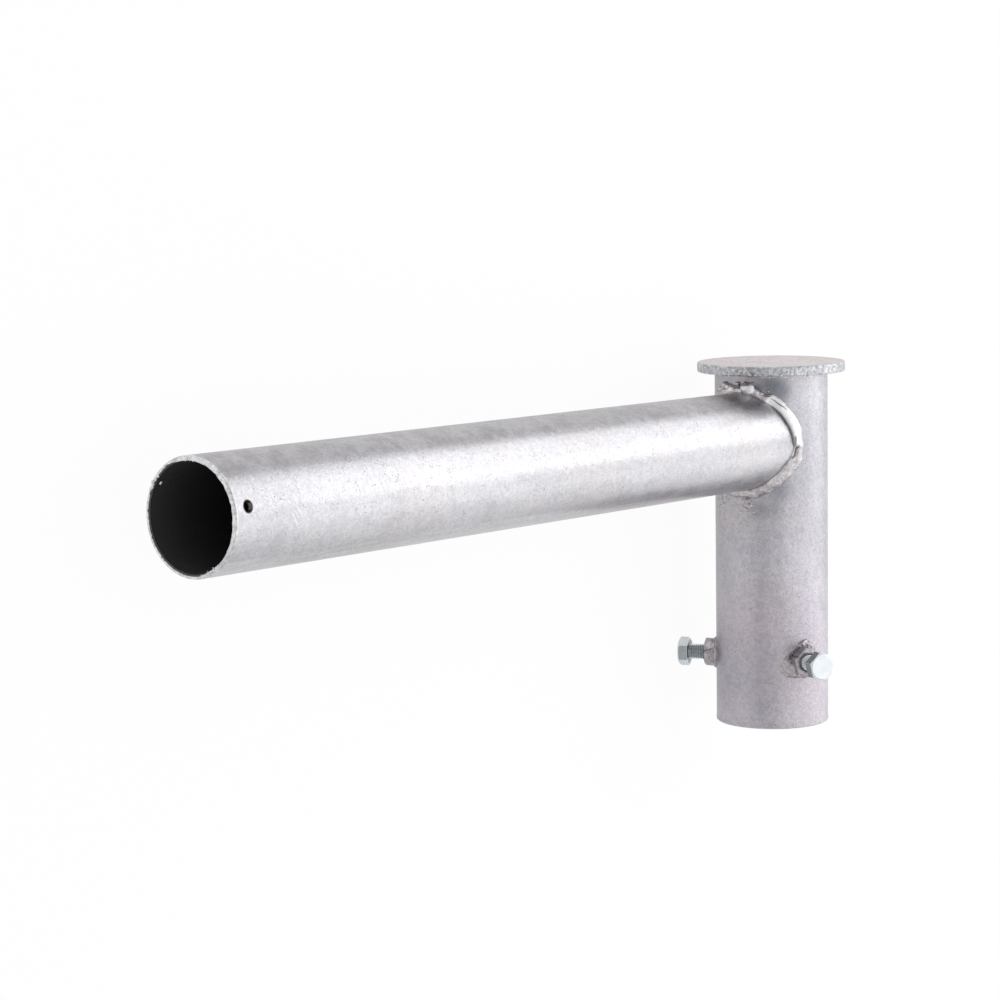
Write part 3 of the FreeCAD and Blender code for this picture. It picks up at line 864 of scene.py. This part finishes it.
def thread_radius(turn, height, top, bottom):
    """The thread's surface: a ridge with flat crest and root, run out at both ends."""
    phase = (height / THREAD_PITCH - turn / 360.0) % 1.0
    ridge = abs(phase - 0.5) * 2.0
    cut = clip((ridge - 0.10) / 0.72) * clip((top - height) / (1.2 * MM))
    point = THREAD_R - SCREW_POINT + (height - bottom)
    return min(THREAD_R - 0.06 * MM - THREAD_DEPTH * cut, point)


def head_rows(screw, turns):
    """Rows of the screw's head, from the middle of its face to its underside."""
    turned, face = screw["head"], screw["out"]
    rows = [ring(r * MM, face - 0.02 * MM * (r > 6.9), turns) for r in (0.0, 2.5, 5.0, 6.9)]
    for depth in (0.0, 0.06, 0.14, 0.25, 0.38, 0.52, 0.68, 0.86):
        cone = CHAMFER * HEAD_FLATS / 2.0 + depth * MM / tan(SIXTH)
        cone -= 0.10 * MM * exp(-depth / 0.15)
        flats = HEAD_FLATS - 0.30 * MM * max(0.0, 1.0 - depth / 0.86) ** 2
        rows.append(hex_row(flats, turned, HEAD_CORNER, face - depth * MM, turns, cone))
    foot = face - HEAD_THICK
    levels = [(0.0, face - depth * MM) for depth in (1.05, 1.6, 3.0, 4.6, 5.7, 6.1)]
    for less, level in levels + [(0.10, foot + 0.12 * MM), (0.45, foot)]:
        rows.append(hex_row(HEAD_FLATS - less * MM, turned, HEAD_CORNER, level, turns))
    return rows + [ring(6.6 * MM, foot, turns), ring(5.4 * MM, foot, turns)]


def screw_painted_shade(screw, point, foot, tip):
    """How much painted shade darkens a point: in the thread's grooves, in the corner under the
    head, and on the head's sides set by its shade.
    """
    shade, facing, half = screw["shade"]
    radius, turn = around(point)
    thread = window(point.z, tip, foot - 0.1 * MM, 0.2 * MM)
    thread *= clip(0.12 + 0.45 * (THREAD_R - radius) / THREAD_DEPTH, 0.7)
    beneath = 0.85 * window(point.z, foot - 0.2 * MM, foot + 0.1 * MM, 0.1 * MM)
    beneath *= window(radius, 0.0, 8.0 * MM, 1.2 * MM)
    flank = shade * window(abs(wrapped(turn, facing)), -10.0, half, 1.0)
    flank *= window(point.z, foot, screw["out"] - 0.8 * MM, 0.3 * MM)
    return max(flank, thread, beneath)


def make_screw(number, material):
    screw = SCREWS[number]
    foot = screw["out"] - HEAD_THICK
    tip = foot - SCREW_LENGTH
    turns = hex_turns(screw["head"])
    rows = head_rows(screw, turns)
    steps = int(SCREW_LENGTH / (THREAD_PITCH / 12.0))
    for step in range(steps + 1):
        height = foot - SCREW_LENGTH * step / steps
        rows.append(ring(lambda turn: thread_radius(turn, height, foot, tip), height, turns))
    rows += [ring(1.5 * MM, tip, turns), ring(0.0, tip, turns)]
    piece = grid_piece("hex_screw_%d" % number, rows, False)
    # Painted shade in the thread's grooves, under the head and on the head's sides.
    store(piece, "hollow", [screw_painted_shade(screw, v.co, foot, tip) for v in piece.data.vertices])
    piece.data.transform(screw_frame(number))
    dress(piece, material, "set_screw_%d" % number, 38.0)


def nut_middle(number):
    """How far the middle of a nut stands from the sleeve's axis."""
    low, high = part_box("clamp_nut_%d" % number)
    return ((low + high) / 2.0).xz.length


NUT_SINKS = (0.0, 0.06, 0.16, 0.32, 0.55, 0.85, 1.2, 1.7, 2.4, 3.2, 4.0)
NUT_SOFT = 1.3    # millimetres over which the zinc rounds a nut's ends

# Grooves in the zinc along each nut: direction, how much it turns for each millimetre
# nearer the sleeve, half width in degrees, depth, and how dark its painted shade is.
NUT_GROOVES = {
    1: ((20.0, 2.4, 6.5, 0.8, 0.6), (-52.0, 0.0, 7.0, 0.7, 0.5), (-14.0, 40.0, 14.0, 0.3, 0.6)),
    2: ((150.0, 0.0, 5.0, 0.3, 0.62),),
}


def nut_grooves(piece, number):
    """Press the grooves into a nut's sides; gives back how much painted shade darkens each point.
    """
    grime_and_shade = []
    level = nut_middle(number)
    for vertex in piece.data.vertices:
        radius, turn = around(vertex.co)
        side = window(radius, 6.5 * MM, 20.0 * MM, 1.0 * MM)
        dark = 0.0
        for middle, slope, width, depth, strength in NUT_GROOVES[number]:
            middle += slope * (level - vertex.co.z) / MM
            share = turn_hump(turn, middle, width) * side
            vertex.co.xy *= 1.0 - share * depth * MM / max(radius, MM)
            dark = max(dark, strength * share * share)
        grime_and_shade.append(dark)
    return grime_and_shade


def nut_rows(number):
    """Rows of a nut, from one end of its bore over its outside to the other end."""
    turned = SCREWS[number]["nut"]
    turns = hex_turns(turned)
    middle, half = nut_middle(number), NUT_THICK / 2.0
    levels = []
    for sink in NUT_SINKS:
        rest = max(0.0, NUT_SOFT - sink)
        inset = (NUT_SOFT - sqrt(NUT_SOFT ** 2 - rest ** 2)) * 0.8 * MM
        circle = CHAMFER * NUT_FLATS / 2.0 + sink * 1.7 * MM - inset
        levels.append((sink * MM - half, NUT_FLATS - 2 * inset, circle))
    levels += [(-level, flats, circle) for level, flats, circle in reversed(levels[:-1])]
    rows = [ring(THREAD_R + 0.05 * MM, middle - half, turns)]
    for level, flats, circle in levels:
        rows.append(hex_row(flats, turned, NUT_CORNER, middle + level, turns, circle))
    for radius, sink in ((6.8, 0.0), (6.1, 0.05), (5.7, 0.3), (5.3, 0.8), (5.05, 1.1)):
        rows.append(ring(radius * MM, middle + half - sink * MM, turns))
    return rows


def make_nut(number, material):
    """A nut whose edges are rounded by its zinc."""
    piece = grid_piece("hex_nut_%d" % number, nut_rows(number), True)
    grime_and_shade = nut_grooves(piece, number)
    piece.data.transform(screw_frame(number))
    roughen(piece, 0.25 * MM, 240.0, 80.0 + number)
    roughen(piece, 0.10 * MM, 900.0, 84.0 + number)
    # Painted shade in the grooves and the zinc's hollows.
    store(piece, "hollow", np.maximum(grime_and_shade, 0.6 * hollows(piece, 6, 0.2 * MM)))
    # Painted highlight on one rounded crown of the first nut.
    crown = screw_frame(1) @ Vector((6.6 * MM, 5.6 * MM, 38.2 * MM))
    near = [(v.co - crown).length for v in piece.data.vertices]
    store(piece, "painted_highlight", [0.45 * window(away, -1.0, 2.9 * MM, 1.2 * MM) for away in near])
    dress(piece, material, "clamp_nut_%d" % number)


# The weld round each nut: its usual reach from the screw's axis, and where it is wider,
# taller, darkened by painted shade, soft at its toe, flat, or brightened by a painted
# highlight: direction and half width in degrees, and an amount in millimetres or as a share.
NUT_BEADS = {
    1: {"reach": 9.6, "wide": ((150.0, 40.0, 0.5),), "tall": ((0.0, 400.0, -0.8),),
        "dark": ((-40.0, 12.0, 0.9),)},
    2: {"reach": 10.6,
        "wide": ((205.0, 30.0, 5.6), (72.0, 34.0, 3.2), (300.0, 30.0, -0.3)),
        "tall": ((208.0, 30.0, 2.2), (72.0, 30.0, 0.8), (130.0, 26.0, -1.6)),
        "dark": ((80.0, 18.0, 0.9), (115.0, 20.0, 1.0), (150.0, 20.0, 1.0), (175.0, 9.0, 1.0),
                 (238.0, 7.0, 1.0)),
        "soft": ((215.0, 50.0, 1.0),), "flat": ((138.0, 30.0, 0.6),),
        "painted_highlight": ((205.0, 32.0, 0.16),)},
}
NUT_BEAD_FACE = [step / 21 for step in range(22)]    # places across its visible face
NUT_BEAD_BACK = 3    # points across its hidden back


def at_turn(number, kind, turn):
    """How much of a kind the weld round a nut has in a direction: the sum of its humps."""
    humps = NUT_BEADS[number].get(kind, ())
    return sum(amount * turn_hump(turn, middle, width) for middle, width, amount in humps)


def off_sleeve(point, lift):
    """The point over or under a place, that far off the sleeve's outside."""
    return Vector((point.x, point.y, sqrt(SLEEVE_R ** 2 - point.x ** 2) + lift * MM))


def nut_bead_ends(number, turn, side, seed):
    """The weld's toe on the sleeve, its edge on the nut, and its root under the nut."""
    corner = hexagon_reach(NUT_FLATS, turn, SCREWS[number]["nut"], NUT_CORNER)
    far = NUT_BEADS[number]["reach"] + at_turn(number, "wide", turn)
    far = max((far + 0.8 * bumps(side * 0.01, 260.0, seed)) * MM, corner + 0.4 * MM)
    near = side * (corner - 0.6 * MM)
    tall = 2.2 + at_turn(number, "tall", turn) + 1.2 * bumps(side * 0.01, 330.0, seed + 1)
    return off_sleeve(side * far, -0.30), off_sleeve(near, max(tall, 0.2)), off_sleeve(near, -1.6)


def nut_bead_row(number, turn):
    """One section of the lumpy weld round a nut, in the screw's own frame."""
    side = Vector((*polar(1.0, turn), 0.0))
    seed = 90.0 + 10.0 * number
    outer, inner, under = nut_bead_ends(number, turn, side, seed)
    out = (side + ROW_UP).normalized() * (1.0 - at_turn(number, "flat", turn)) * MM
    soft = at_turn(number, "soft", turn)
    row = []
    for across in NUT_BEAD_FACE:
        point = outer.lerp(inner, across)
        level = off_sleeve(point, -0.30).z
        point.z = level + max(point.z - level, 0.0) * across ** (0.7 * soft)
        crown = (4.0 * across * (1.0 - across)) ** (0.8 + 0.9 * soft)
        lift = 0.8 + 0.8 * bumps(point, 260.0, seed + 2) + 0.65 * bumps(point, 600.0, seed + 3)
        lift += 0.35 * sin(turn * 0.35 + 9.0 * across) * window(turn, 30, 110, 20)
        row.append(point + out * lift * crown)
    return row + [inner.lerp(under, 0.5), under, off_sleeve(outer.lerp(under, 0.3), -1.2)]


def make_nut_weld(number, material):
    turns = [1.5 * i for i in range(240)]
    rows = [nut_bead_row(number, turn) for turn in turns]
    piece = grid_piece("nut_bead_%d" % number, rows, True, merge=False)
    piece.data.transform(screw_frame(number))
    grime_and_shade = []
    for turn in turns:
        torn = bumps((*polar(1.0, turn), 0.0), 9.0, 8.0)
        start = 0.60 + 0.5 * torn - 0.25 * turn_hump(turn, 140.0, 25.0)
        # Painted shade on the dark sections of the weld.
        dark = min(at_turn(number, "dark", turn), 1.0) * min(1.0, 0.85 + 1.2 * torn)
        grime_and_shade += [dark * window(across, start, 2.0, 0.4) for across in NUT_BEAD_FACE]
        grime_and_shade += [dark] * NUT_BEAD_BACK
    store(piece, "hollow", np.maximum(grime_and_shade, 0.4 * hollows(piece, 6, 0.16 * MM)))
    # Painted highlight where the table gives one.
    painted_highlight = [at_turn(number, "painted_highlight", turn) for turn in turns]
    store(piece, "painted_highlight", np.repeat(painted_highlight, len(NUT_BEAD_FACE) + NUT_BEAD_BACK))
    dress(piece, material, "nut_weld_%d" % number)


# ---- zinc at the edges

def end_section(proud, low, shoulder):
    """The zinc skin's outline: radius, and distance past the arm's end, in millimetres."""
    bore, high = ARM_BORE / MM, ARM_R / MM + 0.03
    flat_from, flat_to = low + 0.45, high - shoulder
    section = [(bore + 0.2, -1.6), (low + 0.10, -1.0), (low, -0.5)]
    for turn in (150.0, 120.0, 90.0):
        section.append((flat_from + polar(0.45, turn)[0], polar(proud + 0.5, turn)[1] - 0.5))
    for share in (0.25, 0.5, 0.75, 1.0):
        section.append((flat_from + (flat_to - flat_from) * share, proud))
    for turn in (70.0, 50.0, 30.0, 12.0):
        section.append((flat_to + polar(shoulder, turn)[0], polar(proud + 0.45, turn)[1] - 0.45))
    return section + [(high - 0.01, -0.55), (high - 0.06, -0.8), (high - 0.53, -1.3)]


def end_ring_row(angle):
    """One section of the zinc skin over the arm's open end: points, and how much painted shade
    darkens them.
    """
    bright = window(angle, -25, 95, 45)
    proud = 0.20 + 0.26 * bright + 0.08 * bumps(on_arm(0.0, angle), 150.0, 101.0)
    burr = max(0.0, 0.35 + bumps(on_arm(0.0, angle), 330.0, 102.0))
    low = ARM_BORE / MM - 0.04 - bright * (0.12 + 0.60 * burr)
    painted_light_amount = 1.25 * window((angle + 360.0) % 360.0, 112, 285, 30)
    row = []
    dark = []
    for radius, along in end_section(proud, low, 0.35 + 1.05 * bright):
        point = on_arm(ARM_REACH + along * MM, angle, radius * MM - ARM_R)
        fine = 0.10 * bumps(point, 420.0, 103.0) + 0.05 * bumps(point, 1100.0, 104.0)
        fine *= 1.0 + 1.3 * bright
        row.append(point + ARM_AXIS * fine * MM * window(along, -0.3, 5.0, 0.4))
        # Painted shade along the inner edge, wider over half the rim, and lighter over the side
        # towards the sleeve's mouth.
        edge = painted_light_amount * (1.0 + 0.5 * bumps(point, 500.0, 105.0))
        inner = window(ARM_BORE / MM + edge - radius, 0.0, 9.0, 0.25)
        dark.append(max(inner, 0.35 * window(angle, -95, -15, 30)))
    return row, dark


def make_end_ring(material):
    rows, grime_and_shade = zip(*[end_ring_row(0.5 * i - 180.0) for i in range(720)])
    piece = grid_piece("end_zinc_ring", rows, True, merge=False)
    # Painted shade from the sections and from the skin's hollows.
    store(piece, "hollow", np.maximum(np.ravel(grime_and_shade), 0.5 * hollows(piece, 5, 0.10 * MM)))
    dress(piece, material)


def make_end_drips(material):
    """Small drops of zinc on the arm's open end, and one just inside it."""
    rng = np.random.default_rng(31)
    inside = on_arm(ARM_REACH - 3.5 * MM, 147, -2.5 * MM)
    blobs = [(inside, -arm_normal(on_arm(ARM_REACH, 147)), 1.3 * MM, 0.7)]
    drops = ((144, -1.3, 0.95), (148, -0.6, 1.05), (153, -1.5, 0.75), (139, -1.8, 0.6))
    blobs += [end_blob(angle, 0.1, out, radius, 0.8) for angle, out, radius in drops]
    for _ in range(46):
        angle = rng.uniform(-70, 100)
        radius = rng.uniform(0.25, 0.55)
        blobs.append(end_blob(angle, 0.02, rng.uniform(-2.9, -1.4), radius, 0.7))
    dress(blob_piece("end_zinc_drops", blobs, 0.18 * MM), material)


def make_mouth_drips(material):
    """Small runs of zinc at the sleeve's mouth."""
    rng = np.random.default_rng(33)
    blobs = []
    for _ in range(60):
        angle = rng.uniform(120, 300)
        radius = rng.uniform(0.3, 0.75)
        blobs.append(sleeve_blob(angle, rng.uniform(0.6, 2.5), -0.15, radius, 0.6))
    dress(blob_piece("mouth_zinc_runs", blobs, 0.2 * MM), material)


# ---- floor, light and camera

FLOOR_LEVEL = CAD_LO.z
FLOOR_HALF = 6.0


def lit_white(name, albedo, camera_share, glossy_share):
    """A white that is partly its own light for the camera and for reflections."""
    graph = Graph(bpy.data.materials.new(name), place=None)
    graph.tree.nodes.remove(graph.tree.nodes["Principled BSDF"])
    seen = graph.times(graph.node("LightPath", "Is Camera Ray"), camera_share)
    mirrored = graph.node("LightPath", "Is Glossy Ray")
    share = graph.times_plus(mirrored, glossy_share, seen)
    paint = graph.node("BsdfDiffuse", 0, {"Color": (albedo, albedo, albedo)})
    glow = graph.node("Emission", 0)
    both = graph.node("MixShader", 0, {0: share, 1: paint, 2: glow})
    graph.fill(graph.tree.nodes["Material Output"], {"Surface": both})
    return graph.owner


def make_floor():
    mesh = bpy.data.meshes.new("floor")
    corners = [(x * FLOOR_HALF, y * FLOOR_HALF, FLOOR_LEVEL)
               for x, y in ((-1, -1), (1, -1), (1, 1), (-1, 1))]
    mesh.from_pydata(corners, [], [(0, 1, 2, 3)])
    mesh.materials.append(lit_white("floor_white", 0.90, 0.94, 0.56))
    add_object("floor", mesh)


def make_world():
    """A studio a little brighter overhead than at its walls, and white where the camera looks."""
    world = bpy.data.worlds.new("studio")
    bpy.context.scene.world = world
    graph = Graph(world, "Generated")
    high = graph.most(graph.axis("Z"), 0.0)
    overhead = graph.times_plus(high, 0.28, 0.66)
    room = graph.times(overhead, graph.remap(graph.axis("X"), -1.0, -0.92, 0.50, 1.0))
    level = graph.most(room, graph.node("LightPath", "Is Camera Ray"))
    light = {"Color": (1.0, 1.0, 1.0), "Strength": level}
    graph.fill(graph.tree.nodes["Background"], light)


OBJECT_MIDDLE = Vector((-0.2, 0.12, 0.0))
CAMERA_ROLL = -0.0161


def softbox(name, direction, distance, width, height, radiance):
    """A square lamp facing the object; radiance is how bright its face looks."""
    lamp = bpy.data.lights.new(name, "AREA")
    lamp.shape = "RECTANGLE"
    lamp.size = width
    lamp.size_y = height
    lamp.energy = radiance * pi * width * height
    holder = add_object(name, lamp)
    away = Vector(direction).normalized()
    holder.location = OBJECT_MIDDLE + away * distance
    holder.rotation_euler = away.to_track_quat("Z", "Y").to_euler()
    holder.visible_camera = False


def make_lights():
    softbox("key", (0.789, 0.435, 0.435), 1.6, 1.2, 1.2, 1.20)
    softbox("lower_key", (0.789, -0.032, 0.614), 1.6, 1.2, 1.2, 0.38)
    softbox("low", (0.789, -0.471, 0.395), 1.6, 1.3, 1.2, 0.36)
    softbox("top", (0.26, -0.12, 0.96), 1.5, 1.9, 1.9, 0.36)
    softbox("right_fill", (1.0, -0.10, 0.10), 1.5, 1.4, 1.2, 0.28)


def make_camera():
    """A view from beyond the arm's open end, a little above it, with the cap upwards."""
    ahead = Vector((0.78385, -0.1266, -0.6079)).normalized()
    right = Vector((0.6128, 0.0, 0.7902)).normalized()
    up = right.cross(ahead).normalized()
    level = Matrix((right, up, -ahead)).transposed()
    turned = level @ Matrix.Rotation(CAMERA_ROLL, 3, "Z")
    data = bpy.data.cameras.new("camera")
    data.lens = 103.1
    data.sensor_width = 36.0
    camera = add_object("camera", data)
    camera.matrix_world = Matrix.Translation((-1.5085, 0.3684, 0.9549)) @ turned.to_4x4()
    bpy.context.scene.camera = camera


# ---- putting it together

def use_material(node, material):
    """Give a CAD node that stays in view a better material."""
    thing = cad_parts[node]
    for slot in thing.material_slots:
        slot.material = material
    thing.data.shade_smooth()
    thing.data.set_sharp_from_angle(angle=radians(25.0))


# Zinc over weld metal, over the nuts and on the arm's open end: dull and bright colours, the
# colour of pits and painted shade, how dark the painted shade can get, and a seed. The open
# end's zinc is painted far brighter than the rest, a painted highlight.
weld = rough_zinc("weld_zinc", (0.36, 0.335, 0.345), (0.68, 0.65, 0.66), (0.055, 0.045, 0.045),
                  0.85, 31.0)
nut = rough_zinc("nut_zinc", (0.29, 0.268, 0.28), (0.50, 0.465, 0.485), (0.045, 0.033, 0.033),
                 0.92, 41.0)
end_zinc_painted_bright = rough_zinc("end_zinc", (0.52, 0.51, 0.53), (0.92, 0.91, 0.93),
                       (0.045, 0.042, 0.042), 0.95, 45.0)
plated = plated_screw()
sleeve_zinc = galvanised_sleeve()

use_material("arm_tube", galvanised_arm())
use_material("pole_sleeve", sleeve_zinc)
make_arm_weld(weld)
make_bridge_lumps(weld)
make_spatter(weld)
make_cap(galvanised_cap())
make_cap_weld(weld)
for number in SCREWS:
    make_screw(number, plated)
    make_nut(number, nut)
    make_nut_weld(number, nut)
make_end_drips(end_zinc_painted_bright)
make_mouth_drips(sleeve_zinc)
make_end_ring(end_zinc_painted_bright)

make_floor()
make_world()
make_lights()
make_camera()
bpy.context.scene.view_settings.view_transform = "Standard"

bpy.context.view_layer.update()
